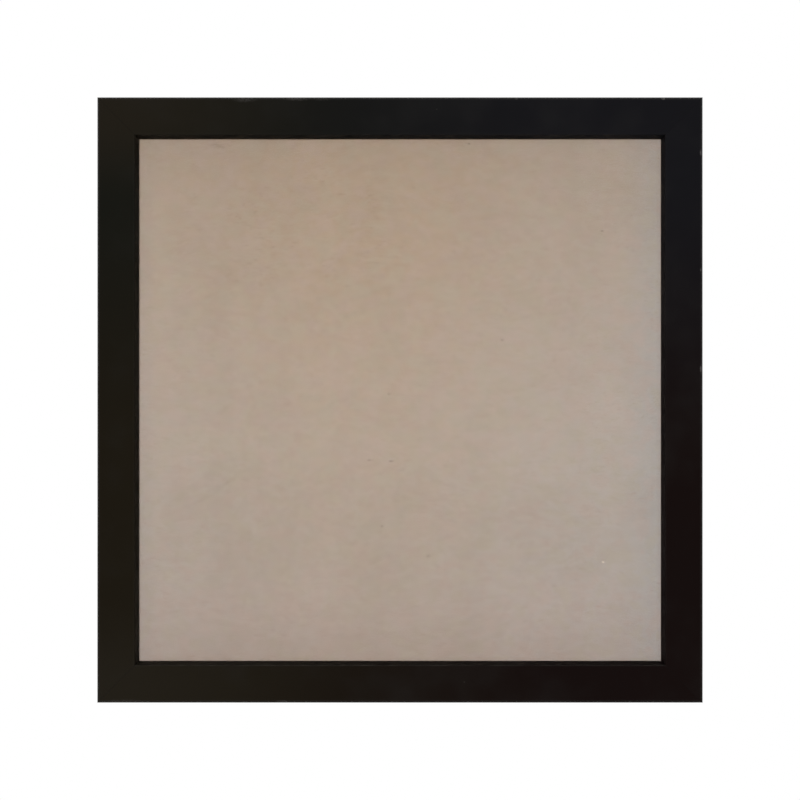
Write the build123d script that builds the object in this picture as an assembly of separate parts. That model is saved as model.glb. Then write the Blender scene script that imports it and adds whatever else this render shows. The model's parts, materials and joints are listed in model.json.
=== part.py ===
from build123d import *
import math
import os

# A square photo frame: a deep flat moulding, mitred at the corners, round a glazed picture.
# It lies in the XZ plane. The front faces -Y, +X is to the viewer's right and +Z is up.
# The origin is in the plane of the wall, where the hanger's middle notch rests on a nail.
# All lengths are in millimetres.

# Pane of glass and backing board, which lie in a pocket behind the moulding's lip
glass_side = 300.0
glass_thickness = 2.0
glass_edge_chamfer = 0.3
print_gap = 0.3
board_thickness = 3.0
pocket_clearance = 1.0

# Moulding: the lip laps the glass, and the land is the solid wood beside the pocket
lip_overlap = 5.0
lip_depth = 8.8
land_width = 15.0
outer_arris_radius = 2.0
inner_arris_radius = 0.8
rear_arris_radius = 0.5

# V-nails, driven across each mitre from the rear
v_nail_leg = 4.0
v_nail_gauge = 0.6
v_nail_height = 7.0
v_nail_spacing = 5.5
v_nail_angle = 110
v_nail_count = 2

# Turn buttons, two on each rail, which hold the board in
button_thickness = 1.0
button_pivot_radius = 4.7
button_tip_radius = 3.3
button_hold = 11.5
button_edge_radius = 0.2
button_running_clearance = 0.08
button_place_share = 0.45

# Pan-head screws, one through each turn button
screw_diameter = 3.0
screw_head_diameter = 6.2
screw_head_height = 1.7
screw_head_round = 1.1
recess_length = 3.4
recess_width = 0.8
recess_depth = 0.9
recess_turn = 37

# The wood left in front of the tip of each screw and pin
fastener_cover = 5.1

# Sawtooth hanger on the top rail, a bent strip with a toothed lower edge
hanger_height = 9.0
hanger_gauge = 1.0
hanger_rise = 1.6
hanger_middle = 25.0
hanger_ramp = 3.0
hanger_end = 7.0
hanger_bend_radius = 1.2
hanger_corner_radius = 1.6
tooth_pitch = 2.4
tooth_land = 0.5
tooth_depth = 1.5
tooth_notches = 9

# Round-headed pins, one at each end of the hanger
pin_diameter = 1.8
pin_clearance = 0.1
pin_head_diameter = 4.0
pin_head_height = 0.9
pin_head_round = 0.5

# Bumpers, which hold the lower corners off the wall as far as the hanger holds the top
bumper_diameter = 10.0
bumper_thickness = 3.0
bumper_round = 1.0
bumper_gap = 3.0

# How far a cutting tool runs past what it cuts
overrun = 5.0

# Worked out from the sizes above
pocket_side = glass_side + 2 * pocket_clearance
outside = pocket_side + 2 * land_width
sight_side = glass_side - 2 * lip_overlap
moulding_width = (outside - sight_side) / 2
pocket_depth = glass_thickness + print_gap + board_thickness
moulding_depth = lip_depth + pocket_depth

rear_y = -bumper_thickness
front_y = rear_y - moulding_depth
glass_front_y = front_y + lip_depth
top_z = land_width / 2 + hanger_height / 2 - tooth_depth
centre_z = top_z - outside / 2
bottom_z = top_z - outside
land_z = top_z - land_width / 2

button_reach = land_width / 2 + pocket_clearance + button_hold
button_station = button_place_share * outside / 2
fastener_depth = moulding_depth - fastener_cover

SIDES = ("top", "right", "bottom", "left")
CORNERS = ("top_right", "bottom_right", "bottom_left", "top_left")
BUTTON_ENDS = {
    "top": ("left", "right"),
    "right": ("upper", "lower"),
    "bottom": ("right", "left"),
    "left": ("lower", "upper"),
}


def quarter(side):
    """The turn about the frame's centre that takes the top rail to the rail on this side."""
    turn = Rot(0, 90 * SIDES.index(side), 0)
    return Pos(0, 0, centre_z) * turn * Pos(0, 0, -centre_z)


def plate(outline, y, thickness):
    """A flat face drawn as seen from the rear rail face, X by Z, made into a plate from y to the rear."""
    return Pos(0, y + thickness, 0) * extrude(Plane.XZ * outline, thickness)


def eased(face, corner, radius):
    """The face with the corner nearest to a point rounded off."""
    return fillet(face.vertices().sort_by_distance((*corner, 0))[0], radius)


def moulding_section():
    """The moulding cut across, from the outer edge inwards and from the rear to the front."""
    outline = Polyline(
        (0, 0),
        (land_width, 0),
        (land_width, pocket_depth),
        (moulding_width, pocket_depth),
        (moulding_width, moulding_depth),
        (0, moulding_depth),
        close=True,
    )
    section = make_face(outline)
    section = eased(section, (0, moulding_depth), outer_arris_radius)
    section = eased(section, (moulding_width, moulding_depth), inner_arris_radius)
    return eased(section, (0, 0), rear_arris_radius)


def mitre_wedge():
    """The space of the top rail between its two mitres, from the frame's centre outwards."""
    reach = outside / 2 + overrun
    triangle = Polyline((0, centre_z), (reach, centre_z + reach), (-reach, centre_z + reach), close=True)
    return plate(make_face(triangle), front_y - overrun, moulding_depth + 2 * overrun)


def screw_shank(diameter, grip):
    """A shank with a pointed tip, its head's underside at the origin, driven along -Y."""
    point = diameter / 2
    straight = grip + fastener_depth - point
    body = Cylinder(diameter / 2, straight, align=(Align.CENTER, Align.CENTER, Align.MIN))
    tip = Pos(0, 0, straight) * Cone(diameter / 2, 0, point, align=(Align.CENTER, Align.CENTER, Align.MIN))
    return Rot(90, 0, 0) * (body + tip)


def rounded_head(diameter, height, rounding):
    """A round head that stands on the origin towards +Y, with its rim rounded."""
    head = Cylinder(diameter / 2, height, align=(Align.CENTER, Align.CENTER, Align.MIN))
    head = fillet(head.edges().group_by(Axis.Z)[-1], rounding)
    return Rot(-90, 0, 0) * head


def turn_button_screw(recess_angle):
    """A pan-head screw with a cross recess, its head's underside at the origin."""
    head = rounded_head(screw_head_diameter, screw_head_height, screw_head_round)
    arm = Box(recess_length, 2 * recess_depth, recess_width)
    cross = arm + Rot(0, 90, 0) * arm
    head -= Pos(0, screw_head_height, 0) * Rot(0, recess_angle, 0) * cross
    return head + screw_shank(screw_diameter, button_thickness)


def turn_button():
    """A flat tapered button in its closed place, its pivot at the origin and its tip towards -Z."""
    centres = button_reach - button_tip_radius
    slope = math.asin((button_pivot_radius - button_tip_radius) / centres)
    side, back = math.cos(slope), math.sin(slope)
    wide, narrow = button_pivot_radius, button_tip_radius
    wide_right, wide_left = (wide * side, -wide * back), (-wide * side, -wide * back)
    narrow_z = -centres - narrow * back
    narrow_right, narrow_left = (narrow * side, narrow_z), (-narrow * side, narrow_z)
    outline = [
        Line(wide_right, narrow_right),
        ThreePointArc(narrow_right, (0, -button_reach), narrow_left),
        Line(narrow_left, wide_left),
        ThreePointArc(wide_left, (0, wide), wide_right),
    ]
    flat = plate(make_face(outline), 0, button_thickness)
    rims = flat.faces().filter_by(Axis.Y).edges()
    flat = fillet(rims, button_edge_radius)
    hole_radius = screw_diameter / 2 + button_running_clearance
    return flat - Rot(90, 0, 0) * Cylinder(hole_radius, 2 * (button_thickness + overrun))


def v_nail():
    """A V of flat strip, its back at the origin and its legs spread towards +X, driven along -Y."""
    half = math.radians(v_nail_angle / 2)
    along, across = math.cos(half), math.sin(half)
    leg_x, leg_z = v_nail_leg * along, v_nail_leg * across
    skin_x, skin_z = v_nail_gauge * across, v_nail_gauge * along
    outline = Polyline(
        (0, 0),
        (leg_x, leg_z),
        (leg_x + skin_x, leg_z - skin_z),
        (v_nail_gauge / across, 0),
        (leg_x + skin_x, skin_z - leg_z),
        (leg_x, -leg_z),
        close=True,
    )
    return plate(make_face(outline), -v_nail_height, v_nail_height)


def corner_v_nails():
    """The V-nails at the top right corner, along its mitre, their legs towards the outer corner."""
    splay = math.radians(v_nail_angle / 2 - 45)
    leg_out, leg_in = v_nail_leg * math.cos(splay), v_nail_leg * math.sin(splay)
    middle = land_width / 2 + (leg_out - leg_in) / 2
    first = middle - v_nail_spacing * (v_nail_count - 1) / 2
    nails = []
    for index in range(v_nail_count):
        inset = first + v_nail_spacing * index
        nails.append(Pos(outside / 2 - inset, rear_y, top_z - inset) * Rot(0, -45, 0) * v_nail())
    return nails


def hanger_pin():
    """A round-headed pin, its head's underside at the origin."""
    head = rounded_head(pin_head_diameter, pin_head_height, pin_head_round)
    return head + screw_shank(pin_diameter, hanger_gauge)


def pin_places():
    """Where the pins' heads rest on the hanger's two ends."""
    reach = hanger_middle / 2 + hanger_ramp + hanger_end / 2
    return [Pos(way * reach, rear_y + hanger_gauge, land_z) for way in (-1, 1)]


def hanger_strip():
    """The hanger's strip before it is cut: flat ends on the rail and a raised middle between them."""
    raised = hanger_middle / 2
    flat = raised + hanger_ramp
    tip = flat + hanger_end
    low = rear_y + hanger_gauge / 2
    high = low + hanger_rise
    bend = FilletPolyline(
        (-tip, low),
        (-flat, low),
        (-raised, high),
        (raised, high),
        (flat, low),
        (tip, low),
        radius=hanger_bend_radius,
    )
    start = Plane(origin=bend @ 0, x_dir=(0, 0, 1), z_dir=bend % 0)
    strip = Pos(0, 0, land_z) * sweep(start * Rectangle(hanger_height, hanger_gauge), path=bend)
    return fillet(strip.edges().filter_by(Axis.Y), hanger_corner_radius)


def tooth_notch(index):
    """One notch of the toothed edge: a V open downwards, its top where a nail bears."""
    middle = tooth_pitch * (index - (tooth_notches - 1) / 2)
    depth = tooth_depth + overrun
    half_width = (tooth_pitch - tooth_land) / 2 * depth / tooth_depth
    outline = Polyline((middle, 0), (middle + half_width, -depth), (middle - half_width, -depth), close=True)
    return plate(make_face(outline), rear_y, hanger_rise + hanger_gauge + overrun)


def sawtooth_hanger():
    """The strip with its toothed lower edge and the holes for its pins."""
    hanger = hanger_strip()
    for index in range(tooth_notches):
        hanger -= tooth_notch(index)
    for place in pin_places():
        hanger -= place * Rot(90, 0, 0) * Cylinder(pin_diameter / 2 + pin_clearance, 2 * overrun)
    return hanger


def wall_bumper(way):
    """A round pad on the bottom rail, just inside the mitre, with its wall side rounded."""
    x = way * (outside / 2 - land_width - bumper_gap - bumper_diameter / 2)
    pad = rounded_head(bumper_diameter, bumper_thickness, bumper_round)
    return Pos(x, rear_y, bottom_z + land_width / 2) * pad


def square_plate(y, thickness):
    """A square plate of the glass's size round the frame's centre, from y to the rear."""
    return Pos(0, y + thickness / 2, centre_z) * Box(glass_side, thickness, glass_side)


def glass_pane():
    """The pane, with its cut edges taken off, against the rear of the lip."""
    pane = square_plate(glass_front_y, glass_thickness)
    rims = pane.faces().filter_by(Axis.Y).edges()
    return chamfer(rims, glass_edge_chamfer)


def backing_board():
    """The board, flush with the rear of the rails."""
    return square_plate(rear_y - board_thickness, board_thickness)


def plain_rail():
    """The top rail before its holes: the section run along the rail and mitred at both ends."""
    right_end = Plane(origin=(outside / 2, rear_y, top_z), x_dir=(0, 0, -1), z_dir=(-1, 0, 0))
    return extrude(right_end * moulding_section(), outside) & mitre_wedge()


# What is fixed to each rail, so that its holes are exactly what fills them
fixings = {side: [] for side in SIDES}
parts = {}

screws = []
for side in SIDES:
    for end, way in zip(BUTTON_ENDS[side], (-1, 1)):
        pivot = quarter(side) * Pos(way * button_station, rear_y, land_z)
        screw = pivot * Pos(0, button_thickness, 0) * turn_button_screw(recess_turn * len(screws))
        screws.append(screw)
        fixings[side].append(screw)
        parts[f"{side}_{end}_turn_button"] = pivot * turn_button()
parts["turn_button_screws"] = Compound(children=screws)

for side, corner, after in zip(SIDES, CORNERS, SIDES[1:] + SIDES[:1]):
    nails = [quarter(side) * nail for nail in corner_v_nails()]
    fixings[side] += nails
    fixings[after] += nails
    parts[f"{corner}_v_nails"] = Compound(children=nails)

pins = [place * hanger_pin() for place in pin_places()]
fixings["top"] += pins
parts["hanger_pins"] = Compound(children=pins)
parts["sawtooth_hanger"] = sawtooth_hanger()

for side in SIDES:
    rail = quarter(side) * plain_rail()
    for fixing in fixings[side]:
        rail -= fixing
    parts[f"{side}_rail"] = rail

parts["glass_pane"] = glass_pane()
parts["backing_board"] = backing_board()
parts["left_wall_bumper"] = wall_bumper(-1)
parts["right_wall_bumper"] = wall_bumper(1)

os.makedirs("parts", exist_ok=True)
for node, shape in parts.items():
    export_step(shape, f"parts/{node}.step")
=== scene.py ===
# %% [markdown]
# # A square photo frame, finished
#
# The frame hangs on a wall: four black mitred rails round a pane of glass, with a pale fibreboard
# behind it. It is empty, so the board is the picture. The solids were made first, at real size, and
# they stay where they are. What is left to do here is what light does to them: lacquer, glass,
# pressed fibre, plated steel, brass and rubber.
#
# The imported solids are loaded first, so that each size below is read from them instead of being
# typed again.

import json
import math
from types import SimpleNamespace

import bpy
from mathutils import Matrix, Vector


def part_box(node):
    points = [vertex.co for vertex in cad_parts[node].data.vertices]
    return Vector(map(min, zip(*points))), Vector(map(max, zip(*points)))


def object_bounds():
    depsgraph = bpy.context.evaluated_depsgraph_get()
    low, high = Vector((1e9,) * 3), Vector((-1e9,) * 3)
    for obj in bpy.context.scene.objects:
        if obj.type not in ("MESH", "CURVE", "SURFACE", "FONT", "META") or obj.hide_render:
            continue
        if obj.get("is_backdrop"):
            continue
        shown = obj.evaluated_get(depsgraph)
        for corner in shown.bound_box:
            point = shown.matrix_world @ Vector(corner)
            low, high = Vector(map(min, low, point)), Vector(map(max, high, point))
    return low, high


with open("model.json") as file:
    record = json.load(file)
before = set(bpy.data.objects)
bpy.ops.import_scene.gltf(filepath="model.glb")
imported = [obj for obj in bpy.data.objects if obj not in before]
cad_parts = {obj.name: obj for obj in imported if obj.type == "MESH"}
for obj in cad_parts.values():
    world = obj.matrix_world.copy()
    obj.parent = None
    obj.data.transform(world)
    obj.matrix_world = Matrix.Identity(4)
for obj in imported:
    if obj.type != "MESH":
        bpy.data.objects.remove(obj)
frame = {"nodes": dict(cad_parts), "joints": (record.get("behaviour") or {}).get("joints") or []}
solids_low, solids_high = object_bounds()
print("nodes:", len(frame["nodes"]), "box in m:", [round(side, 4) for side in solids_high - solids_low])

# %% [markdown]
# ## Sizes
#
# Finishes follow the shape: paint wears at the edges of a rail, and a turn button scrapes the wood
# that it sweeps. The places of those edges and pivots could be typed in, but then they would be
# wrong as soon as the solids changed. So they are measured on the boxes of the solids, and on the
# joints that came with them. Blender counts in metres, so a millimetre has a name.

# %% Measure the solids
MM = 0.001

rail_low, rail_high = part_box("top_rail")
pane_low, pane_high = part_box("glass_pane")
button_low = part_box("top_right_turn_button")[0]
joints = {joint["name"]: joint for joint in frame["joints"]}
pivot = Vector(joints["top_right_pivot"]["pos_m"])

OUTSIDE = rail_high.x - rail_low.x
HALF = OUTSIDE / 2
RAIL_WIDTH = rail_high.z - rail_low.z
FRONT, REAR = rail_low.y, rail_high.y
CENTRE_Z = rail_high.z - HALF
CENTRE = Vector((0, FRONT, CENTRE_Z))
LIP_DEPTH = pane_low.y - FRONT
BOARD_DEPTH = pane_high.y - FRONT
PANE_HALF = pane_high.x
PIVOT_STATION = pivot.x
PIVOT_INSET = rail_high.z - pivot.z
BUTTON_REACH = pivot.z - button_low.z

# A button is screwed on in the middle of the land, the solid wood outside the pocket
LAND_WIDTH = 2 * PIVOT_INSET
widths = [round(width / MM, 1) for width in (OUTSIDE, RAIL_WIDTH, LAND_WIDTH)]
print("widths of the outside, a rail and its land in mm:", widths)

# %% [markdown]
# ## The camera
#
# The photograph was taken straight from the front, so the outline is a true square. How near the
# camera stood shows in the inner wall of the rails: about 4 pixels of it can be seen inside each
# rail, and a lip 9 mm deep shows that much from a little over half a metre. The lens then follows
# from how large the outline is in the picture. The outline is the outer edge of the rounded arris,
# which lies as far behind the front as the arris is round.

# %% Place the camera
PHOTO_SIDE = 800
OUTLINE_PIXELS = 604.9
STAND_BACK = 560 * MM
OUTER_ARRIS = 2 * MM
TO_OUTLINE = STAND_BACK + OUTER_ARRIS

camera_data = bpy.data.cameras.new("camera")
camera_data.sensor_width = 36
camera_data.lens = camera_data.sensor_width * OUTLINE_PIXELS / PHOTO_SIDE * TO_OUTLINE / OUTSIDE
camera = bpy.data.objects.new("camera", camera_data)
camera.location = CENTRE - Vector((0, STAND_BACK, 0))
camera.rotation_euler = (math.radians(90), 0, 0)
bpy.context.scene.collection.objects.link(camera)
bpy.context.scene.camera = camera
print("lens", round(camera_data.lens, 2), "mm")


def from_photo(across, down, depth):
    """The point, at a depth behind the front of the rails, that a pixel of the photograph shows."""
    metres = OUTSIDE / OUTLINE_PIXELS * (STAND_BACK + depth) / TO_OUTLINE
    right, below = across - PHOTO_SIDE / 2, down - PHOTO_SIDE / 2
    return CENTRE + Vector((right * metres, depth, -below * metres))


# %% [markdown]
# ## Building materials in code
#
# A material is a graph of small nodes. Written out in full, each node takes four or five lines, and
# the idea gets lost among them. A few helpers named after what they do keep the recipes below as
# short as a sentence. The first two place a node and link it.

# %% Helpers for nodes
def feed(socket, value):
    """Links a socket to another node's output, or sets its constant."""
    if isinstance(value, bpy.types.NodeSocket):
        socket.id_data.links.new(value, socket)
    else:
        socket.default_value = value


def add(graph, kind, inputs=None, **settings):
    """Adds a shader node, sets its options, and feeds its inputs by name or number."""
    made = graph.nodes.new("ShaderNode" + kind)
    for name, value in settings.items():
        setattr(made, name, value)
    for name, value in (inputs or {}).items():
        feed(made.inputs[name], value)
    return made


print("feed and add are ready")

# %% [markdown]
# Most of a recipe is sums: on numbers, such as how far a point is from an edge, and on vectors, such
# as a place. Each of these has a word of its own, because a long row of nodes called Math says
# nothing.

# %% Helpers for sums
def maths(graph, operation, *values):
    """One sum on one or two numbers, which goes on with any further ones."""
    result = add(graph, "Math", dict(enumerate(values[:2])), operation=operation).outputs[0]
    for value in values[2:]:
        result = add(graph, "Math", {0: result, 1: value}, operation=operation).outputs[0]
    return result


def product(graph, *values):
    """All the numbers multiplied."""
    return maths(graph, "MULTIPLY", *values)


def total(graph, *values):
    """All the numbers added up."""
    return maths(graph, "ADD", *values)


def less(graph, value, taken):
    """A number less another one."""
    return maths(graph, "SUBTRACT", value, taken)


def apart(graph, value, other):
    """How far apart two numbers are."""
    return maths(graph, "ABSOLUTE", less(graph, value, other))


def largest(graph, *values):
    """The largest of the numbers."""
    return maths(graph, "MAXIMUM", *values)


def vectors(graph, operation, *values):
    """One sum on vectors, which gives a vector, or a number for a length or a distance."""
    made = add(graph, "VectorMath", dict(enumerate(values)), operation=operation)
    return made.outputs["Value" if operation in ("LENGTH", "DISTANCE") else "Vector"]


def vector_of(graph, *values):
    """A vector put together from its parts."""
    return add(graph, "CombineXYZ", dict(enumerate(values))).outputs[0]


def parts_of(graph, vector):
    """The parts X, Y and Z of a vector."""
    return add(graph, "SeparateXYZ", {0: vector}).outputs


print("sums on numbers and vectors are ready")

# %% [markdown]
# The next helpers are what a maker would call effects: a soft edge, one paint over another, a
# cloudy pattern and a relief. Sizes go in as metres. A noise whose features are 2 mm long is asked
# for as 2 mm, and not as a scale of 500.

# %% Helpers for effects
def fade(graph, value, start, end, low=0.0, high=1.0):
    """Goes smoothly from low to high while a value goes from start to end."""
    inputs = {"Value": value, "From Min": start, "From Max": end, "To Min": low, "To Max": high}
    return add(graph, "MapRange", inputs, interpolation_type="SMOOTHSTEP").outputs[0]


def tint(graph, share, first, second):
    """Goes from the first colour to the second."""
    made = add(graph, "Mix", {0: share}, data_type="RGBA")
    feed(made.inputs[6], first)
    feed(made.inputs[7], second)
    return made.outputs[2]


def paint_over(graph, colour, paint, mask, strength=1.0):
    """Lays a paint over a colour where a mask is 1, at some strength."""
    share = mask if strength == 1 else product(graph, mask, strength)
    return tint(graph, share, colour, paint)


def noise(graph, place, sizes, detail=2.0, rough=0.5, distortion=0.0):
    """A cloudy value from 0 to 1, whose features have one size, or sizes along X, Y and Z."""
    if isinstance(sizes, float):
        sizes = (sizes, sizes, sizes)
    scaled = vectors(graph, "DIVIDE", place, sizes)
    inputs = {"Vector": scaled, "Scale": 1.0, "Detail": detail, "Roughness": rough}
    return add(graph, "TexNoise", {**inputs, "Distortion": distortion}).outputs[0]


def bump(graph, height):
    """The surface's normal after a relief whose height is given in metres."""
    return add(graph, "Bump", {"Height": height, "Distance": 1.0}).outputs[0]


print("fade, tint, paint_over, noise and bump are ready")

# %% [markdown]
# An effect that several finishes share is a node group, which is built once and placed in each
# material with its own values. The last helpers make such a group, place it, and make a material
# whose coordinates are the object's own. Those are metres in the frame, because every solid keeps
# its origin there, so a pattern runs on from piece to piece.

# %% Helpers for groups and materials
def new_group(name, inputs, values=(), colours=()):
    """An empty group, what it is given and what it gives; a None among its inputs asks for a vector."""
    group = bpy.data.node_groups.new(name, "ShaderNodeTree")
    for label, default in inputs.items():
        kind = "NodeSocketVector" if default is None else "NodeSocketFloat"
        socket = group.interface.new_socket(label, in_out="INPUT", socket_type=kind)
        if default is not None:
            socket.default_value = default
    for label in values:
        group.interface.new_socket(label, in_out="OUTPUT", socket_type="NodeSocketFloat")
    for label in colours:
        group.interface.new_socket(label, in_out="OUTPUT", socket_type="NodeSocketColor")
    print("group", name, "gives", ", ".join((*values, *colours)))
    return group, group.nodes.new("NodeGroupInput").outputs, group.nodes.new("NodeGroupOutput").inputs


def use(graph, group_name, **values):
    """Places a group in a graph, and gives its outputs."""
    made = graph.nodes.new("ShaderNodeGroup")
    made.node_tree = bpy.data.node_groups[group_name]
    for name, value in values.items():
        feed(made.inputs[name.replace("_", " ")], value)
    return made.outputs


def new_material(name):
    """A material with its graph, its Principled shader and its object coordinates."""
    material = bpy.data.materials.new(name)
    material.use_nodes = True
    graph = material.node_tree
    return material, graph, graph.nodes["Principled BSDF"].inputs, add(graph, "TexCoord").outputs


def dress(material, *names):
    """Gives a material to solids by name."""
    for name in names:
        for slot in frame["nodes"][name].material_slots:
            slot.material = material
    print(material.name, "on", ", ".join(names))


# %% [markdown]
# ## White surroundings and a pale floor
#
# The photograph shows the frame cut out on pure white. Flooding the scene with light would give
# that white too, but it would bleach the frame. So the world has two faces: rays that reach it
# straight from the camera, or by way of a shiny or clear surface, see white, and the light that
# falls on the frame is much weaker and even.

# %% Make the world
SURROUND_LEVEL = 0.14
SURROUND_COLOUR = (0.96, 0.98, 1.0, 1)
WHITE = (1, 1, 1, 1)


def seen_directly(graph):
    """1 for rays from the camera, a reflection or a clear surface, and 0 for rays that only light."""
    rays = add(graph, "LightPath").outputs
    return largest(graph, rays["Is Camera Ray"], rays["Is Glossy Ray"], rays["Is Transmission Ray"])


world = bpy.data.worlds.new("studio")
world.use_nodes = True
bpy.context.scene.world = world
studio = world.node_tree
studio.nodes.clear()
lit = add(studio, "Background", {"Color": SURROUND_COLOUR, "Strength": SURROUND_LEVEL}).outputs[0]
white = add(studio, "Background", {"Color": WHITE, "Strength": 1.0}).outputs[0]
choice = add(studio, "MixShader", {0: seen_directly(studio), 1: lit, 2: white}).outputs[0]
add(studio, "OutputWorld", {"Surface": choice})
print("surroundings at", SURROUND_LEVEL)

# %% [markdown]
# The floor lies well below, because this is a thing that hangs. Near the frame it is a real pale
# surface that takes a shadow, with just enough glow to look white where nothing shades it. Further
# off it turns into the same white as the world, so no horizon can be seen. Its underside is clear,
# for a look at the frame from below.

# %% Lay the floor
FLOOR_DROP = 0.30
FLOOR_HALF = 8.0
REAL_WITHIN, WHITE_BEYOND = 0.22, 0.60
FLOOR_GREYS = (0.57, 0.57, 0.57, 1), (0.61, 0.61, 0.61, 1)
FLOOR_MOTTLE = 0.4
FLOOR_GLOW = 0.50

floor_z = solids_low.z - FLOOR_DROP
floor_mesh = bpy.data.meshes.new("floor")
corners = [(x * FLOOR_HALF, y * FLOOR_HALF, floor_z) for x, y in ((-1, -1), (1, -1), (1, 1), (-1, 1))]
floor_mesh.from_pydata(corners, [], [(0, 1, 2, 3)])
floor = bpy.data.objects.new("floor", floor_mesh)
bpy.context.scene.collection.objects.link(floor)
floor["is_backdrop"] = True

floor_paint, graph, paint, spot = new_material("floor_paint")
mottle = noise(graph, spot["Object"], FLOOR_MOTTLE)
feed(paint["Base Color"], tint(graph, mottle, *FLOOR_GREYS))
feed(paint["Roughness"], fade(graph, mottle, 0.2, 0.8, 0.8, 0.9))
feed(paint["Specular IOR Level"], 0.1)
seen = seen_directly(graph)
glow = add(graph, "Emission", {"Color": WHITE, "Strength": product(graph, seen, FLOOR_GLOW)}).outputs[0]
near = add(graph, "AddShader", {0: graph.nodes["Principled BSDF"].outputs[0], 1: glow}).outputs[0]
far = add(graph, "Emission", {"Color": WHITE, "Strength": seen}).outputs[0]
distance = vectors(graph, "DISTANCE", spot["Object"], (0, 0, floor_z))
farness = fade(graph, distance, REAL_WITHIN, WHITE_BEYOND)
above = add(graph, "MixShader", {0: farness, 1: near, 2: far}).outputs[0]
below = add(graph, "BsdfTransparent").outputs[0]
underneath = add(graph, "NewGeometry").outputs["Backfacing"]
one_sided = add(graph, "MixShader", {0: underneath, 1: above, 2: below}).outputs[0]
feed(graph.nodes["Material Output"].inputs["Surface"], one_sided)
floor_mesh.materials.append(floor_paint)
print("floor", FLOOR_DROP, "m below the frame")

# %% [markdown]
# ## Lamps
#
# The photograph's light is soft and comes mostly from the front: the lip throws almost no shade on
# the board. A little more comes from the lower left, because the right and top inner walls are the
# lighter ones. Big square lamps give soft light. A lamp's power is worked out from the level that
# it should bring to a surface that faces it, where 1 shows a white surface as white.
#
# The two lamps in front would show in the glass, and the strong one behind would glare on the
# plated steel, so these three are left out of reflections. The one straight in front is small,
# because the half-shadow of a big lamp would draw a dark band on the board along the lip. The
# sides, the top and the rear have lamps of their own, and none of these reaches the front. The ones
# that metal reflects are the largest, so that they show in it as a soft sheen.

# %% Hang the lamps
def soft_lamp(name, across, up, level, side=0.8, distance=1.6, colour=(1, 1, 1), in_gloss=True):
    """A square lamp aimed at the frame, so many degrees to the right of its front and above it."""
    data = bpy.data.lights.new(name, "AREA")
    data.size = side

    # White that faces a lamp of P watts from a distance d shows at a level of P / (pi * d) ** 2
    data.energy = level * (math.pi * distance) ** 2
    data.color = colour
    lamp = bpy.data.objects.new(name, data)
    across, up = math.radians(across), math.radians(up)
    away = Vector((math.sin(across) * math.cos(up), -math.cos(across) * math.cos(up), math.sin(up)))
    lamp.location = CENTRE + away * distance
    lamp.rotation_euler = away.to_track_quat("Z", "Y").to_euler()
    lamp.visible_camera = False
    lamp.visible_transmission = False
    lamp.visible_glossy = in_gloss
    bpy.context.scene.collection.objects.link(lamp)
    print(name, "power", round(data.energy, 1), "W")


soft_lamp("front_lamp", -1.5, 1.5, 0.815, side=0.35, distance=2.0, in_gloss=False)
soft_lamp("low_left_lamp", -40, -8, 0.045, side=0.4, colour=(1.0, 0.96, 0.90), in_gloss=False)
soft_lamp("right_lamp", 110, 14, 0.32, side=1.2)
soft_lamp("left_lamp", -110, 14, 0.32, side=1.2)
soft_lamp("top_lamp", 180, 74, 0.32, side=1.2)
soft_lamp("back_lamp", 160, 14, 0.70, in_gloss=False)
soft_lamp("low_back_lamp", -140, 8, 0.14, side=1.0)

# %% [markdown]
# ## Where on the frame a point lies
#
# Wear, mitres and scrapes all depend on how far a point is from the outer edge, from a mitre or
# from the front. All four rails are alike, so the frame is folded: the larger of |x| and |z| about
# its centre runs across a rail, and the smaller runs along it. One group does that folding for
# every material that needs it.

# %% Group: place on the frame
OUTER, ALONG, MITRE, DEPTH = "From Outer Edge", "Along", "From Mitre", "Depth"

graph, given, gives = new_group("place_on_frame", {"Vector": None}, (OUTER, ALONG, MITRE, DEPTH))
parts = parts_of(graph, given["Vector"])
level_part = maths(graph, "ABSOLUTE", parts["X"])
upright_part = apart(graph, parts["Z"], CENTRE_Z)
across_part = largest(graph, level_part, upright_part)
along_part = maths(graph, "MINIMUM", level_part, upright_part)
feed(gives[OUTER], less(graph, HALF, across_part))
feed(gives[ALONG], along_part)
feed(gives[MITRE], product(graph, less(graph, across_part, along_part), math.sqrt(0.5)))
feed(gives[DEPTH], less(graph, parts["Y"], FRONT))

# %% [markdown]
# ## Pressed fibres
#
# The board is wood fibre pressed flat, and the rails are the same stuff under their lacquer. Up
# close it is a mat of short fibres, darker and lighter, most of them lying the way the mat was
# laid. A noise that is stretched in one direction gives such strokes, and three of them, turned
# against each other, give a mat. The group is used for the board, for the bare wood in the pocket
# and for what shows where the lacquer is gone.

# %% Group: pressed fibres
FIBRE_TURNS = ((0, 1.0), (52, 0.7), (-47, 0.6))
FIBRE_RISE = 0.03 * MM


def turned(graph, place, degrees):
    """A place turned about the axis that runs through the frame from front to rear."""
    inputs = {"Vector": place, "Angle": math.radians(degrees)}
    return add(graph, "VectorRotate", inputs, rotation_type="Y_AXIS").outputs[0]


fibre_size = {"Length": 1.6 * MM, "Width": 0.22 * MM}
graph, given, gives = new_group("pressed_fibres", {"Vector": None, **fibre_size}, ("Dark", "Height"))
sizes = vector_of(graph, given["Length"], given["Width"], given["Width"])
mat = 0.0
for degrees, weight in FIBRE_TURNS:
    lying = turned(graph, given["Vector"], degrees)
    strokes = noise(graph, lying, sizes, detail=1.5, rough=0.6, distortion=0.35)
    mat = largest(graph, mat, product(graph, fade(graph, strokes, 0.54, 0.72), weight))
feed(gives["Dark"], mat)
feed(gives["Height"], product(graph, mat, FIBRE_RISE))

# %% [markdown]
# ## Dust
#
# Anything that hangs on a wall gathers dust: a thin film on what faces up, and specks anywhere. The
# film comes from the normal's upward part, broken up by noise. The specks are the few cells of a
# random pattern that are picked, and only the very middle of each. Lacquer, board, glass and rubber
# use the same group, each with its own amount.

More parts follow.
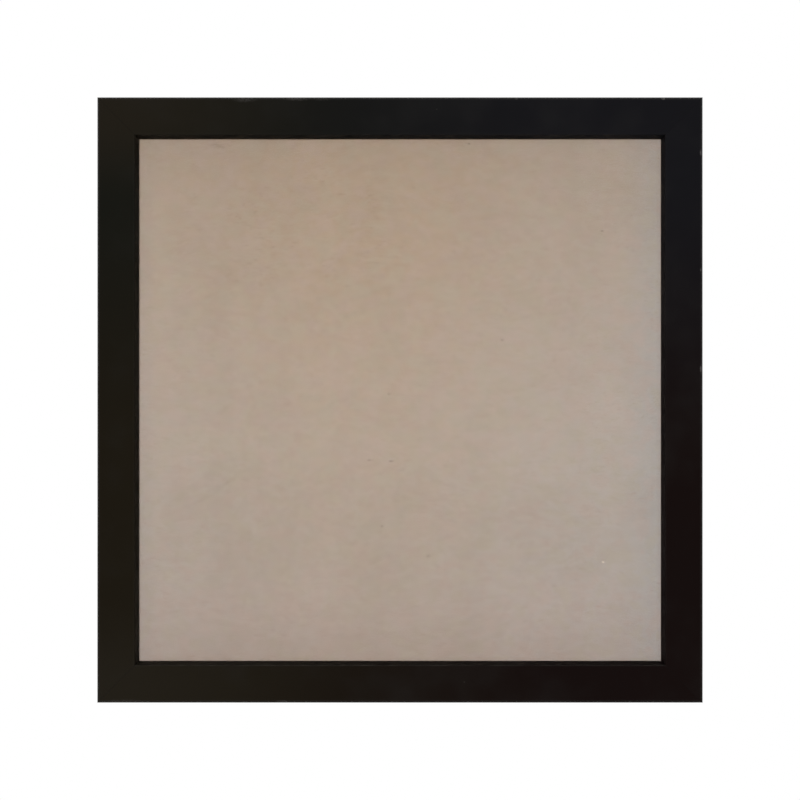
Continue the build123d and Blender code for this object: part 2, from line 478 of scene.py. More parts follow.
# %% Group: settled dust
SPECK_RADII = 0.02, 0.07

speck_defaults = {"Speck Spacing": 5 * MM, "Speck Share": 0.2}
dust_inputs = {"Vector": None, "Normal": None, **speck_defaults}
graph, given, gives = new_group("settled_dust", dust_inputs, ("Film", "Specks"))
upward = parts_of(graph, given["Normal"])["Z"]
patches = noise(graph, given["Vector"], 9 * MM, detail=4.0, rough=0.6)
feed(gives["Film"], product(graph, fade(graph, upward, 0.2, 0.95), fade(graph, patches, 0.3, 0.75)))

cells_per_metre = maths(graph, "DIVIDE", 1.0, given["Speck Spacing"])
scaling = {"Vector": given["Vector"], "Scale": cells_per_metre}
scaled = add(graph, "VectorMath", scaling, operation="SCALE").outputs[0]
cells = add(graph, "TexVoronoi", {"Vector": scaled, "Scale": 1.0}).outputs
lots = add(graph, "SeparateColor", {0: cells["Color"]}).outputs
picked = maths(graph, "LESS_THAN", lots[0], given["Speck Share"])
radius = fade(graph, lots[1], 0.0, 1.0, *SPECK_RADII)
inside = maths(graph, "LESS_THAN", cells["Distance"], radius)
feed(gives["Specks"], product(graph, picked, inside))


def dust_on(graph, place, spot, spacing, share):
    """Dust with a speck in a share of the cells, which lie at this spacing."""
    specks = {"Speck_Spacing": spacing, "Speck_Share": share}
    return use(graph, "settled_dust", Vector=place, Normal=spot["Normal"], **specks)


# %% [markdown]
# ## Scrapes under the turn buttons
#
# Each button swings on its screw and drags over the rail and the board. That leaves fine arcs about
# the pivot, as far out as the button reaches. The distance from the pivot, in the folded frame,
# gives the arcs: a noise along that distance alone draws rings, and a second noise breaks them up.
# The rails and the board share this group.

# %% Group: turning marks
RING_WIDTH = 0.45 * MM
UNDER_HEAD, CLEAR_OF_HEAD = 3.5 * MM, 5.0 * MM
TIP_FADE = 1.5 * MM

graph, given, gives = new_group("turning_marks", {"Vector": None, OUTER: 0.0, ALONG: 0.0}, ("Marks",))
from_station = less(graph, given[ALONG], PIVOT_STATION)
from_inset = less(graph, given[OUTER], PIVOT_INSET)
swing = vectors(graph, "LENGTH", vector_of(graph, from_station, from_inset))
rings = noise(graph, vector_of(graph, swing), (RING_WIDTH, 1.0, 1.0), detail=3.0)
breaks = noise(graph, given["Vector"], 5 * MM, detail=3.0)
marks = product(
    graph,
    fade(graph, swing, UNDER_HEAD, CLEAR_OF_HEAD),
    fade(graph, swing, BUTTON_REACH, BUTTON_REACH - TIP_FADE),
    fade(graph, breaks, 0.42, 0.6),
    fade(graph, rings, 0.5, 0.62),
)
feed(gives["Marks"], marks)


def button_marks(graph, place, on_frame):
    """The scrapes that the turn buttons leave."""
    folded = {"From_Outer_Edge": on_frame[OUTER], "Along": on_frame[ALONG]}
    return use(graph, "turning_marks", Vector=place, **folded)["Marks"]


# %% [markdown]
# ## Tumbled metal
#
# Small hardware is stamped, then plated in a turning barrel, where the pieces knock against each
# other. That leaves a fine grain, hairline scratches that run every way, and patches where the
# plating is duller. A hairline is the thin band where a stretched noise passes through its middle
# value. All the metal pieces use this group, each with its own grain.

# %% Group: tumbled metal
SCRATCH_TURNS = (28, -61, 95)
SCRATCH_WIDTH_SHARE = 0.14
GRAIN_RISE = 0.004 * MM
SCRATCH_DEPTH = 0.006 * MM

grain_and_scratch = {"Grain": 0.12 * MM, "Scratch Length": 5 * MM}
metal_outputs = ("Dull", "Scratches", "Height")
graph, given, gives = new_group("tumbled_metal", {"Vector": None, **grain_and_scratch}, metal_outputs)
dull = noise(graph, given["Vector"], 3 * MM, detail=4.0, rough=0.65)
feed(gives["Dull"], fade(graph, dull, 0.3, 0.75))

narrow = product(graph, given["Scratch Length"], SCRATCH_WIDTH_SHARE)
sizes = vector_of(graph, given["Scratch Length"], narrow, narrow)
hairlines = 0.0
for degrees in SCRATCH_TURNS:
    wander = noise(graph, turned(graph, given["Vector"], degrees), sizes, detail=2.0)
    hairlines = largest(graph, hairlines, fade(graph, apart(graph, wander, 0.5), 0.012, 0.003))
scratches = product(graph, hairlines, fade(graph, dull, 0.4, 0.55))
feed(gives["Scratches"], scratches)

grain_sizes = vector_of(graph, given["Grain"], given["Grain"], given["Grain"])
grains = noise(graph, given["Vector"], grain_sizes, detail=2.0)
raised = product(graph, grains, GRAIN_RISE)
feed(gives["Height"], less(graph, raised, product(graph, scratches, SCRATCH_DEPTH)))

# %% [markdown]
# ## The blacks of the rails
#
# The rails are cut from one moulding of pressed fibre, sprayed satin black. In the photograph the
# black isn't neutral: it is olive at the top left, bluish at the top right, brown at the bottom
# left and reddish at the bottom right, with a haze in the corners on the left. This is light painted
# into the colour: painted light makes the bottom left brown and lighter, painted shade makes the
# bottom right darker, the olive and bluish hues are painted reflections, and the haze is a painted
# sheen. A flat black would look dead, so four blacks, one for each corner, drift into each other
# over the frame.

# %% Group: blacks of the corners, with painted light
# Painted light in the four corners: lighter and brown at the bottom left, painted shade at the bottom
# right, painted reflections in the olive and bluish hues, and a painted sheen in the corners on the left
OLIVE_REFLECTION_BLACK = (0.0052, 0.0052, 0.0034, 1)
BLUISH_REFLECTION_BLACK = (0.0052, 0.0050, 0.0064, 1)
LIT_WARM_BLACK = (0.0081, 0.0058, 0.0027, 1)
SHADED_RED_BLACK = (0.0036, 0.0012, 0.0009, 1)
PAINTED_SHEEN_BLACK = (0.0120, 0.0094, 0.0058, 1)

graph, given, gives = new_group("corner_light_and_reflections", {"Vector": None}, colours=("Colour",))
parts = parts_of(graph, given["Vector"])
to_right = fade(graph, parts["X"], -0.85 * HALF, 0.65 * HALF)
to_bottom = fade(graph, parts["Z"], CENTRE_Z + 0.8 * HALF, CENTRE_Z - 0.25 * HALF)
left_black = tint(graph, to_bottom, OLIVE_REFLECTION_BLACK, LIT_WARM_BLACK)
right_black = tint(graph, to_bottom, BLUISH_REFLECTION_BLACK, SHADED_RED_BLACK)
black = tint(graph, to_right, left_black, right_black)
# A painted sheen in the corners on the left
to_left = fade(graph, parts["X"], -20 * MM, -HALF)
to_corner = fade(graph, apart(graph, parts["Z"], CENTRE_Z), HALF - 60 * MM, HALF - 10 * MM)
feed(gives["Colour"], paint_over(graph, black, PAINTED_SHEEN_BLACK, product(graph, to_left, to_corner)))

# %% [markdown]
# ## Worn arrises
#
# A hand or a cloth rubs the lacquer first where it stands out, on the arrises. There it turns
# lighter and smoother, and here and there a chip is gone, most of all near the mitres, where the
# wood is weakest. The lighter colour along the arrises is partly that wear and partly a painted
# highlight. The distance from an arris is taken as the sum of the distances from its two faces.
# That costs far less than asking the mesh for its edges, and it works on every rail alike.

# %% Group: arris wear and painted highlight
# How far from each arris the wear and its painted highlight start, and where they are full
OUTER_WEAR = 2.3 * MM, 1.2 * MM
INNER_WEAR = 1.0 * MM, 0.5 * MM
REAR_WEAR = 0.9 * MM, 0.3 * MM
INNER_WEAR_SHARE = 0.3
NEAR_MITRE = 9 * MM

wear_inputs = {OUTER: 0.0, DEPTH: 0.0, MITRE: 0.0, "Speckle": 0.0}
graph, given, gives = new_group("arris_wear_and_highlight", wear_inputs, ("Rubbed_And_Highlight", "Chipped"))
from_outer_arris = total(graph, given[OUTER], given[DEPTH])
from_inner_arris = total(graph, less(graph, RAIL_WIDTH, given[OUTER]), given[DEPTH])
from_rear_arris = total(graph, given[OUTER], less(graph, REAR - FRONT, given[DEPTH]))
arris = largest(
    graph,
    fade(graph, from_outer_arris, *OUTER_WEAR),
    fade(graph, from_inner_arris, *INNER_WEAR, 0.0, INNER_WEAR_SHARE),
    fade(graph, from_rear_arris, *REAR_WEAR),
)
# Lighter lacquer along the arrises: partly wear, partly a painted highlight
feed(gives["Rubbed_And_Highlight"], product(graph, arris, fade(graph, given["Speckle"], 0.40, 0.75)))
luck = total(graph, given["Speckle"], fade(graph, given[MITRE], NEAR_MITRE, 0.0, 0.0, 0.10))
feed(gives["Chipped"], product(graph, arris, fade(graph, luck, 0.78, 0.84)))

# %% [markdown]
# ## Overspray on the rear
#
# The rear of the moulding never faced the spray gun. It only caught what drifted round the edge, so
# droplets lie thick at the outer edge and thin out over bare fibre. A fine noise stands for the
# droplets. They show where it is above a level that rises away from the edge, and a broad noise
# makes the border of the spray wander.

# %% Group: thin overspray
DROPLET = 0.30 * MM
SPRAY_WANDER = 1.5 * MM
SPRAY_START, SPRAY_END = -5 * MM, 13 * MM

graph, given, gives = new_group("thin_overspray", {"Vector": None, OUTER: 0.0}, ("Sprayed",))
droplets = noise(graph, given["Vector"], DROPLET, detail=2.0, rough=0.6)
wander = noise(graph, given["Vector"], 45 * MM, detail=2.0)
reach = total(graph, given[OUTER], fade(graph, wander, 0.3, 0.7, -SPRAY_WANDER, SPRAY_WANDER))
needed = fade(graph, reach, SPRAY_START, SPRAY_END, 0.22, 0.72)
feed(gives["Sprayed"], fade(graph, less(graph, droplets, needed), -0.10, 0.10))

# %% [markdown]
# ## Scuffs
#
# A few grey scuffs lie on the outer arrises. They are seen in the photograph, so they are given as
# pixels of it and turned into places on the rail. Each is an ellipse that a noise breaks up. The
# dull bands and the dark specks of the board are placed by the same helper further down.

# %% Scuffs on the rails
# Pixel across and down, half length and half height in millimetres, and strength
SCUFFS = {
    "top_rail": (
        (245, 100.5, 8.5, 1.7, 0.16),
        (297, 99.5, 9.5, 1.4, 0.18),
        (322, 100, 7.0, 1.0, 0.08),
        (516.5, 99, 1.6, 1.0, 0.25),
        (663, 99, 1.3, 1.0, 1.0),
    ),
    "right_rail": (
        (700.5, 153, 1.0, 2.6, 0.5),
        (700.5, 270, 0.9, 1.0, 0.5),
        (700.5, 369, 1.0, 2.6, 0.5),
        (657, 458, 0.8, 1.0, 0.4),
    ),
    "bottom_rail": ((282.5, 701, 5.5, 1.0, 0.18), (125, 700.5, 14.0, 1.2, 0.08)),
    "left_rail": (),
}
SCUFF_DEEP = 2.5


def photo_spot(graph, place, pixel, depth, long, deep, high):
    """1 inside and 0 outside an ellipsoid placed by a pixel, whose half sizes are in millimetres."""
    away = vectors(graph, "SUBTRACT", place, from_photo(*pixel, depth))
    scaled = vectors(graph, "DIVIDE", away, (long * MM, deep * MM, high * MM))
    return fade(graph, vectors(graph, "LENGTH", scaled), 1.0, 0.4)


def scuff_mask(graph, place, scuffs):
    """All the scuffs of one rail."""
    mask = 0.0
    for across, down, long, high, strength in scuffs:
        ellipse = photo_spot(graph, place, (across, down), OUTER_ARRIS / 2, long, SCUFF_DEEP, high)
        mask = largest(graph, mask, product(graph, ellipse, strength))
    return mask


print("scuffs:", {rail: len(scuffs) for rail, scuffs in SCUFFS.items()})

# %% [markdown]
# ## Measures of a rail
#
# Colour, gloss and relief all ask the same questions of a point: is it on an arris, on the rear, in
# the pocket, on the inner wall that little spray reaches, or on a mitre? The answers are worked out
# once for each rail and kept by name. Each rail's noises are taken from a place of its own, so that
# no two rails carry the same marks.

# %% What a rail's finish depends on
# How softly the pocket, the inner wall and the line of a mitre begin
SPRAY_EDGE = 0.2 * MM
LIP_EDGE = 0.1 * MM, 0.01 * MM
FACE_EDGE = 0.3 * MM, 0.1 * MM
WALL_START = 0.4 * MM, 0.9 * MM
MITRE_LINE = 0.16 * MM, 0.05 * MM
RAIL_FIBRE = {"Length": 1.1 * MM, "Width": 0.16 * MM}


def rail_measures(graph, spot, shift):
    """Places, noises, wear and masks of one rail, by name."""
    place = spot["Object"]
    moved = vectors(graph, "ADD", place, (shift, 0, shift))
    on_frame = use(graph, "place_on_frame", Vector=place)
    outer, mitre, depth = on_frame[OUTER], on_frame[MITRE], on_frame[DEPTH]
    facing_rear = parts_of(graph, spot["Normal"])["Y"]
    on_rear = fade(graph, facing_rear, 0.55, 0.9)
    past_land = fade(graph, outer, LAND_WIDTH - SPRAY_EDGE, LAND_WIDTH)
    past_lip = fade(graph, depth, *(LIP_DEPTH - short for short in LIP_EDGE))
    in_pocket = product(graph, past_land, past_lip)
    past_face = fade(graph, outer, *(RAIL_WIDTH - short for short in FACE_EDGE))
    speckle = noise(graph, moved, 0.9 * MM, detail=4.0, rough=0.7)
    wear = use(graph, "arris_wear_and_highlight", From_Outer_Edge=outer, Depth=depth, From_Mitre=mitre, Speckle=speckle)
    return SimpleNamespace(
        place=place,
        moved=moved,
        outer=outer,
        on_rear=on_rear,
        in_pocket=in_pocket,
        inner_wall=product(graph, past_face, fade(graph, depth, *WALL_START)),
        joint=fade(graph, mitre, *MITRE_LINE),
        cloud=noise(graph, moved, 30 * MM, detail=3.0),
        speckle=speckle,
        rubbed_and_highlight=wear["Rubbed_And_Highlight"],
        chipped=wear["Chipped"],
        bare=largest(graph, wear["Chipped"], in_pocket, on_rear),
        marks=product(graph, button_marks(graph, moved, on_frame), on_rear),
        fibres=use(graph, "pressed_fibres", Vector=moved, **RAIL_FIBRE),
        dust=dust_on(graph, moved, spot, 5 * MM, 0.05),
    )


pocket_start = [round(length / MM, 1) for length in (LAND_WIDTH, LIP_DEPTH)]
print("the pocket starts so many mm from the outer edge and from the front:", pocket_start)

# %% [markdown]
# ## Colour of a rail
#
# The colour is laid on in the order in which it came to be on the real rail, more or less: black,
# with painted light, shade and reflections at its corners, rubbed spots, partly a painted highlight
# on the arrises, scuffs, bare fibre in the chips, overspray on the rear, bare fibre in the pocket, a
# dark line at each mitre, the buttons' scrapes, and dust last, kept thin on the inner wall as painted
# shade. Each layer covers the ones before it only where its mask says so.

# %% From black to dust
THIN_COAT = (0.016, 0.014, 0.012, 1)
# Lighter lacquer, in random clouds, and on the arrises for wear and a painted highlight
LIGHTER_LACQUER = (0.020, 0.019, 0.018, 1)
SCUFFED = (0.160, 0.148, 0.140, 1)
DUST_COLOUR = (0.30, 0.28, 0.25, 1)
BARE_FIBRE = (0.33, 0.235, 0.150, 1)
DARK_FIBRE = (0.15, 0.095, 0.055, 1)
MITRE_SHADE = (0.002, 0.002, 0.002, 1)
SCRAPED_COAT = (0.11, 0.10, 0.09, 1)


def rail_colour(graph, at, scuffs):
    """The colour of a rail, one layer over another."""
    # The black with the painted light, shade and reflections of its corners
    colour = use(graph, "corner_light_and_reflections", Vector=at.place)["Colour"]
    colour = paint_over(graph, colour, LIGHTER_LACQUER, fade(graph, at.cloud, 0.4, 0.8, 0.0, 0.2))
    # Lighter along the arrises: partly rubbed wear, partly a painted highlight
    colour = paint_over(graph, colour, LIGHTER_LACQUER, at.rubbed_and_highlight)
    if scuffs:
        scuffed = product(graph, scuff_mask(graph, at.place, scuffs), fade(graph, at.speckle, 0.34, 0.62))
        colour = paint_over(graph, colour, SCUFFED, scuffed)
    bare = tint(graph, at.fibres["Dark"], BARE_FIBRE, DARK_FIBRE)
    colour = paint_over(graph, colour, bare, at.chipped)
    sprayed = use(graph, "thin_overspray", Vector=at.moved, From_Outer_Edge=at.outer)["Sprayed"]
    colour = paint_over(graph, colour, tint(graph, sprayed, bare, THIN_COAT), at.on_rear)
    colour = paint_over(graph, colour, bare, at.in_pocket)
    colour = paint_over(graph, colour, MITRE_SHADE, at.joint, 0.5)
    colour = paint_over(graph, colour, SCRAPED_COAT, at.marks, 0.5)
    # The dust film is kept thinner on the inner wall, so the wall stays darker: painted shade in the lip
    film = product(graph, at.dust["Film"], fade(graph, at.inner_wall, 0.0, 1.0, 0.10, 0.03))
    dusty = largest(graph, film, product(graph, at.dust["Specks"], 0.12))
    return paint_over(graph, colour, DUST_COLOUR, dusty)


print("scuffs are", round(SCUFFED[0] / LIGHTER_LACQUER[0], 1), "times as light as rubbed lacquer")

# %% [markdown]
# ## Gloss and relief of a rail
#
# Satin lacquer is duller where it is bare or dusty, and on the inner wall, because little spray
# reaches in there. Where it is rubbed it shines a little more. In the relief, faint lines run along
# the moulding from the cutter, and the lacquer dried with a fine orange peel. Chips and mitres are
# cut in, and bare fibres stand up.

# %% Gloss, relief and the four rails
RAIL_SHIFT = 0.7
CUTTER_LINE_LONG, CUTTER_LINE_WIDE = 40 * MM, 0.35 * MM
CUTTER_LINE_RISE = 0.0012 * MM
PEEL_SIZE, PEEL_RISE = 1.1 * MM, 0.006 * MM
CHIP_DEPTH, MITRE_DEPTH = 0.06 * MM, 0.05 * MM


def rail_roughness(graph, at):
    """The roughness of a rail."""
    return total(
        graph,
        fade(graph, at.cloud, 0.3, 0.7, 0.36, 0.44),
        product(graph, at.bare, 0.35),
        product(graph, at.inner_wall, 0.27),
        product(graph, at.rubbed_and_highlight, -0.08),
        product(graph, at.dust["Film"], 0.2),
    )


def rail_relief(graph, at, line_sizes):
    """The height of a rail's surface."""
    return total(
        graph,
        product(graph, noise(graph, at.moved, line_sizes, detail=2.0), CUTTER_LINE_RISE),
        product(graph, noise(graph, at.moved, PEEL_SIZE, detail=1.0), PEEL_RISE),
        product(graph, at.chipped, -CHIP_DEPTH),
        product(graph, at.joint, -MITRE_DEPTH),
        product(graph, at.fibres["Height"], at.bare),
    )


for number, side in enumerate(("top", "right", "bottom", "left")):
    line_sizes = [CUTTER_LINE_WIDE] * 3
    line_sizes[0 if side in ("top", "bottom") else 2] = CUTTER_LINE_LONG
    lacquer, graph, shader, spot = new_material(f"satin_black_{side}")
    at = rail_measures(graph, spot, RAIL_SHIFT * number)
    feed(shader["Base Color"], rail_colour(graph, at, SCUFFS[f"{side}_rail"]))
    feed(shader["Roughness"], rail_roughness(graph, at))
    feed(shader["Specular IOR Level"], 0.05)
    feed(shader["Normal"], bump(graph, rail_relief(graph, at, line_sizes)))
    dress(lacquer, f"{side}_rail")

# %% [markdown]
# ## The fibreboard
#
# This is what the photograph mostly shows. Its colour is a warm pale brown in the upper middle. It
# turns greyer to the right, to the left, towards the bottom and along the rims at the left and the
# top, bluish in a strip at the right, and rosier at the bottom. A picture pasted on would hold all
# that, but it would blur up close and tie the part to one photograph. So each drift is a smooth
# fade from one place on the board to another, given as shares of half the pane.

# %% The board's drift of colour
WARM_BOARD = (0.497, 0.367, 0.263, 1)
GREY_BOARD = (0.490, 0.443, 0.412, 1)
BLUISH_BOARD = (0.380, 0.405, 0.425, 1)
ROSY_BOARD = (0.495, 0.360, 0.350, 1)
BOARD_SHIFT = 0.3

board, graph, shader, spot = new_material("bare_fibreboard")
place = spot["Object"]
moved = vectors(graph, "ADD", place, (BOARD_SHIFT, 0, BOARD_SHIFT))
parts = parts_of(graph, place)


def level_fade(start_share, end_share, most):
    """Goes from 0 to most between two shares of half the pane, from its middle to the right."""
    return fade(graph, parts["X"], start_share * PANE_HALF, end_share * PANE_HALF, 0.0, most)


def upright_fade(start_share, end_share, most):
    """Goes from 0 to most between two shares of half the pane, upwards from its middle."""
    start, end = (CENTRE_Z + share * PANE_HALF for share in (start_share, end_share))
    return fade(graph, parts["Z"], start, end, 0.0, most)


uneven = noise(graph, place, (9 * MM, 9 * MM, 7 * MM), detail=5.0, rough=0.6)
greyed = total(
    graph,
    level_fade(-0.15, 1.0, 0.42),
    level_fade(-0.15, -1.0, 0.20),
    upright_fade(1.0, -1.0, 0.50),
    fade(graph, uneven, 0.40, 0.60, -0.06, 0.06),
    largest(graph, level_fade(-0.89, -0.97, 0.13), upright_fade(0.87, 0.97, 0.13)),
)
colour = tint(graph, greyed, WARM_BOARD, GREY_BOARD)
colour = paint_over(graph, colour, ROSY_BOARD, upright_fade(-0.5, -0.9, 0.20))
colour = paint_over(graph, colour, BLUISH_BOARD, level_fade(0.80, 0.97, 0.36))
print(board.name, "drifts over", round(2 * PANE_HALF / MM, 1), "mm")

# %% [markdown]
# Pressed fibre is never even. Pinkish and greenish blotches, about a centimetre across, are two
# sides of one noise, so they never lie on each other. The board also darkens a little at its top
# and bottom, in broad clouds, in small patches, in faint upright bands, and in two wide bands that
# the photograph shows and that are placed by its pixels.

# %% Blotches and shade
PINKISH = (0.517, 0.385, 0.328, 1)
GREENISH = (0.470, 0.406, 0.302, 1)
FLECK = (0.240, 0.178, 0.128, 1)
END_SHADE = 0.24

# Pixel across and down, half length and half height in millimetres, and strength
DULL_BANDS = ((400, 525, 400, 40, 0.05), (235, 380, 46, 260, 0.06))
THROUGH = 100

blotches = noise(graph, moved, 9 * MM, detail=4.0, rough=0.55)
colour = paint_over(graph, colour, PINKISH, fade(graph, blotches, 0.50, 0.62, 0.0, 0.30))
colour = paint_over(graph, colour, GREENISH, fade(graph, blotches, 0.50, 0.38, 0.0, 0.30))

upright = maths(graph, "DIVIDE", less(graph, parts["Z"], CENTRE_Z), PANE_HALF)
clouds = noise(graph, place, 30 * MM, detail=4.0, rough=0.65)
patches = noise(graph, moved, (8 * MM, 8 * MM, 4.5 * MM), detail=5.0, rough=0.6)
bands = noise(graph, place, (26 * MM, 1.0, 0.9), detail=1.0)
shade = total(
    graph,
    product(graph, upright, upright, END_SHADE),
    fade(graph, clouds, 0.3, 0.7, 0.0, 0.06),
    fade(graph, patches, 0.43, 0.58, 0.0, 0.050),
    fade(graph, bands, 0.4, 0.6, 0.0, 0.02),
)
for across, down, long, high, strength in DULL_BANDS:
    band = photo_spot(graph, place, (across, down), BOARD_DEPTH, long, THROUGH, high)
    shade = total(graph, shade, product(graph, band, strength))
colour = paint_over(graph, colour, FLECK, shade)
print("shade at top and bottom:", END_SHADE)

# %% [markdown]
# The mat itself is the shared group of fibres three times, fine, coarse and pale. Darker dashes lie
# level on top of it, in clusters, and they are thickest in the upper left part of the middle. A
# noise that is flat and wide gives them, and a second, broader one keeps them in clusters.

# %% Fibres and dashes of the board
PALE_FLECK = (0.66, 0.57, 0.46, 1)
REDDISH_FLECK = (0.250, 0.160, 0.125, 1)
FINE_FIBRE = {"Length": 1.5 * MM, "Width": 0.20 * MM}
COARSE_FIBRE = {"Length": 4.0 * MM, "Width": 0.60 * MM}
PALE_FIBRE = {"Length": 3.0 * MM, "Width": 0.45 * MM}
THICK_SPOT = (310, 240)

fine = use(graph, "pressed_fibres", Vector=place, **FINE_FIBRE)
coarse = use(graph, "pressed_fibres", Vector=place, **COARSE_FIBRE)
pale = use(graph, "pressed_fibres", Vector=moved, **PALE_FIBRE)
colour = paint_over(graph, colour, FLECK, fine["Dark"], 0.12)
colour = paint_over(graph, colour, FLECK, coarse["Dark"], 0.12)
colour = paint_over(graph, colour, PALE_FLECK, pale["Dark"], 0.10)

streaks = noise(graph, moved, (3.4 * MM, 5 * MM, 0.75 * MM), detail=1.0)
clusters = noise(graph, place, 22 * MM, detail=2.0)
thick = photo_spot(graph, place, THICK_SPOT, BOARD_DEPTH, 80, THROUGH, 60)
dashes = product(
    graph,
    fade(graph, streaks, 0.64, 0.73),
    fade(graph, clusters, 0.36, 0.52),
    fade(graph, thick, 0.0, 1.0, 0.18, 0.38),
)
colour = paint_over(graph, colour, REDDISH_FLECK, dashes)
print("fibres up to", round(COARSE_FIBRE["Length"] / MM, 1), "mm long")

# %% [markdown]
# A few things in the mat are no fibres: crumbs of bark, one pale splinter and a torn wisp at the
# top left. Most crumbs come from the dust group's specks. The ones that the photograph shows
# clearly are placed by its pixels.

# %% Bark, a splinter and a torn wisp
BARK = (0.055, 0.040, 0.030, 1)
BARK_STRENGTH = 0.32

# Pixel across and down, half length in millimetres, and strength
BARK_CRUMBS = (
    (391, 461, 1.8, 0.32),
    (369, 460, 1.1, 0.34),
    (389, 394, 1.1, 0.34),
    (502, 340, 1.1, 0.36),
    (602, 231, 1.1, 0.36),
    (428, 556, 1.2, 0.34),
    (382, 526, 1.1, 0.32),
    (469, 144, 1.1, 0.36),
)
CRUMB_DEEP, CRUMB_HIGH = 1.0, 0.75
SPLINTER, WISP = (603, 562), (219, 146)

crumbs = dust_on(graph, place, spot, 9 * MM, 0.35)["Specks"]
bark = product(graph, crumbs, BARK_STRENGTH)
for across, down, long, strength in BARK_CRUMBS:
    crumb = photo_spot(graph, place, (across, down), BOARD_DEPTH, long, CRUMB_DEEP, CRUMB_HIGH)
    bark = largest(graph, bark, product(graph, crumb, strength))
colour = paint_over(graph, colour, BARK, bark)
splinter = photo_spot(graph, place, SPLINTER, BOARD_DEPTH, 1.1, CRUMB_DEEP, 0.8)
colour = paint_over(graph, colour, PALE_FLECK, splinter, 0.9)
wisp = photo_spot(graph, place, WISP, BOARD_DEPTH, 8.5, CRUMB_DEEP, 2.4)
torn = fade(graph, noise(graph, place, (3.2 * MM, 3.2 * MM, 1.0 * MM), detail=3.0), 0.40, 0.60)
colour = paint_over(graph, colour, FLECK, product(graph, wisp, torn), 0.40)
print("crumbs placed:", len(BARK_CRUMBS))

# %% [markdown]
# The rear of such a board carries the print of the wire screen that it was pressed on, so it gets a
# fine square relief: two waves, one along X and one along Z, multiplied. The buttons have scraped it
# along its edges. The front keeps the relief of its fibres only.

# %% The board's rear, gloss and relief
SCREEN_PITCH = 1.9 * MM
SCREEN_DEPTH = 0.08 * MM

on_rear = fade(graph, parts_of(graph, spot["Normal"])["Y"], -0.3, 0.3)
on_frame = use(graph, "place_on_frame", Vector=place)
scraped = product(graph, button_marks(graph, place, on_frame), on_rear)
feed(shader["Base Color"], paint_over(graph, colour, BARK, scraped, 0.55))

waves = []
for axis in ("X", "Z"):
    wave = maths(graph, "SINE", product(graph, parts[axis], math.pi / SCREEN_PITCH))
    waves.append(maths(graph, "ABSOLUTE", wave))
screen = product(graph, *waves, product(graph, on_rear, SCREEN_DEPTH))
feed(shader["Normal"], bump(graph, total(graph, fine["Height"], coarse["Height"], screen)))
roughness = fade(graph, clouds, 0.3, 0.7, 0.78, 0.86)
feed(shader["Roughness"], less(graph, roughness, product(graph, scraped, 0.25)))
feed(shader["Specular IOR Level"], 0.25)
dress(board, "backing_board")

# %% [markdown]
# ## The glass
#
# The pane is clear, flat and smooth. Plain float glass throws back about 4% from each face, which
# would lay a white veil over the board. The photograph has no such veil, so this is the
# low-reflection glass that framers sell: the tint of its gloss takes off most of it when one looks
# straight in, and it still shines from the side.
#
# A window pane modelled as a solid throws a dark shadow in a path tracer, because light would have
# to find its way through two bends. Real thin glass hardly shades what is behind it, so the pane is
# hidden from the rays that carry light to the board, and shown to all the others.
#
# A cloth has left faint arcs: a noise that runs only along the distance from a point below the
# frame, where an elbow would be, makes the gloss vary in arcs.

# %% The glass
ELBOW = (0.16, 0.0, CENTRE_Z - 0.42)
ARC_WIDTH = 5 * MM
CLEAN, HAZY = (1, 1, 1, 1), (0.985, 0.99, 0.985, 1)

glass, graph, shader, spot = new_material("float_glass")
place = spot["Object"]
swing = vectors(graph, "DISTANCE", place, ELBOW)
arcs = noise(graph, vector_of(graph, swing), (ARC_WIDTH, 1.0, 1.0), detail=3.0)
wiped = noise(graph, place, 60 * MM, detail=3.0)
haze = product(graph, fade(graph, arcs, 0.45, 0.62), fade(graph, wiped, 0.4, 0.65))
specks = dust_on(graph, place, spot, 11 * MM, 0.2)["Specks"]
dulled = largest(graph, fade(graph, haze, 0.0, 1.0, 0.002, 0.02), product(graph, specks, 0.08))
feed(shader["Base Color"], tint(graph, haze, CLEAN, HAZY))
feed(shader["Roughness"], dulled)
feed(shader["IOR"], 1.52)
feed(shader["Specular Tint"], (0.1, 0.1, 0.1, 1))
feed(shader["Transmission Weight"], 1.0)
dress(glass, "glass_pane")
frame["nodes"]["glass_pane"].visible_shadow = False
frame["nodes"]["glass_pane"].visible_diffuse = False

# %% [markdown]
# ## Steel, zinc and brass
#
# Four finishes of steel hold the frame together: nickel-plated buttons, bright zinc screws, a
# duller zinc hanger and bare V-nails. The pins are brass-plated. They differ in colour, polish and
# grain, but a barrel finished them all, so one function makes them, and each call gives what sets
# that metal apart.

# %% The metals
STAIN_SHARE = 0.5


def plated(name, bright, stained, smooth, dull, grain):
    """A barrel-finished metal: clean and stained colours, roughness where clean and dull, and grain."""
    metal, graph, shader, spot = new_material(name)
    worn = use(graph, "tumbled_metal", Vector=spot["Object"], Grain=grain)
    colour = paint_over(graph, bright, stained, worn["Dull"], STAIN_SHARE)
    feed(shader["Base Color"], paint_over(graph, colour, bright, worn["Scratches"], 0.4))
    roughness = fade(graph, worn["Dull"], 0.0, 1.0, smooth, dull)
    feed(shader["Roughness"], total(graph, roughness, product(graph, worn["Scratches"], 0.12)))
    feed(shader["Metallic"], 1.0)
    feed(shader["Normal"], bump(graph, worn["Height"]))
    return metal


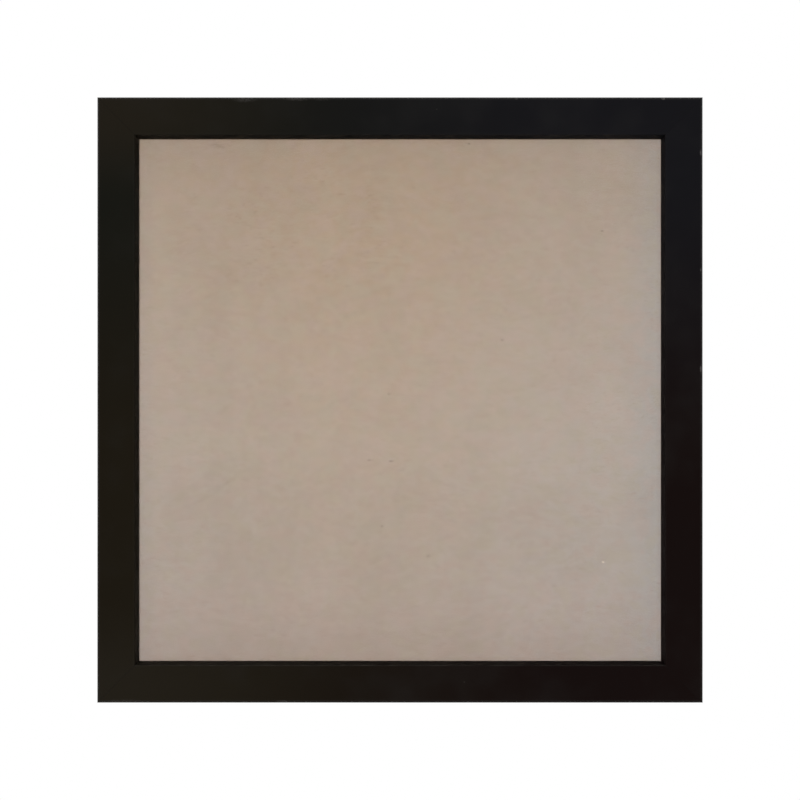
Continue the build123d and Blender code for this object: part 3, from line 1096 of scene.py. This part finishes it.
buttons = sorted(name for name in frame["nodes"] if name.endswith("_turn_button"))
v_nails = sorted(name for name in frame["nodes"] if name.endswith("_v_nails"))
nickel = plated("nickel_plate", (0.47, 0.455, 0.425, 1), (0.25, 0.235, 0.21, 1), 0.24, 0.40, 0.14 * MM)
bright_zinc = plated("bright_zinc", (0.50, 0.51, 0.52, 1), (0.29, 0.29, 0.28, 1), 0.20, 0.36, 0.10 * MM)
dull_zinc = plated("dull_zinc", (0.42, 0.425, 0.43, 1), (0.24, 0.225, 0.19, 1), 0.30, 0.48, 0.18 * MM)
bare_steel = plated("bare_steel", (0.36, 0.355, 0.35, 1), (0.16, 0.11, 0.08, 1), 0.34, 0.55, 0.12 * MM)
brass = plated("brass_plate", (0.50, 0.37, 0.18, 1), (0.24, 0.165, 0.08, 1), 0.20, 0.42, 0.10 * MM)
dress(nickel, *buttons)
dress(bright_zinc, "turn_button_screws")
dress(dull_zinc, "sawtooth_hanger")
dress(bare_steel, *v_nails)
dress(brass, "hanger_pins")

# %% [markdown]
# ## Rubber bumpers
#
# Two soft black pads keep the lower corners off the wall. Rubber is matt and never quite black: it
# blooms grey and holds dust. A fine grain from the mould keeps it from looking like painted wood.

# %% The rubber
RUBBER_BLACK, BLOOM = (0.022, 0.022, 0.023, 1), (0.052, 0.051, 0.050, 1)
MOULD_GRAIN, MOULD_GRAIN_RISE = 0.25 * MM, 0.02 * MM

rubber, graph, shader, spot = new_material("black_rubber")
place = spot["Object"]
bloom = noise(graph, place, 2.5 * MM, detail=4.0, rough=0.65)
colour = tint(graph, fade(graph, bloom, 0.35, 0.75), RUBBER_BLACK, BLOOM)
dust = dust_on(graph, place, spot, 1.6 * MM, 0.35)
dusty = largest(graph, product(graph, dust["Film"], 0.5), product(graph, dust["Specks"], 0.6))
feed(shader["Base Color"], paint_over(graph, colour, DUST_COLOUR, dusty))
feed(shader["Roughness"], fade(graph, bloom, 0.3, 0.7, 0.62, 0.80))
feed(shader["Specular IOR Level"], 0.3)
grain = noise(graph, place, MOULD_GRAIN, detail=2.0)
feed(shader["Normal"], bump(graph, product(graph, grain, MOULD_GRAIN_RISE)))
dress(rubber, "left_wall_bumper", "right_wall_bumper")

# %% [markdown]
# ## The view and what shows
#
# The colours are meant to look as they were written, so the view transform is plain. The box of
# what shows is set against the box of the solids, and how far it has grown is printed.

# %% Set the view and finish
bpy.context.scene.view_settings.view_transform = "Standard"
shown_low, shown_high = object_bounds()
grown = max((solids_low - shown_low).length, (shown_high - solids_high).length)
print("grown by, mm:", round(grown / MM, 3))
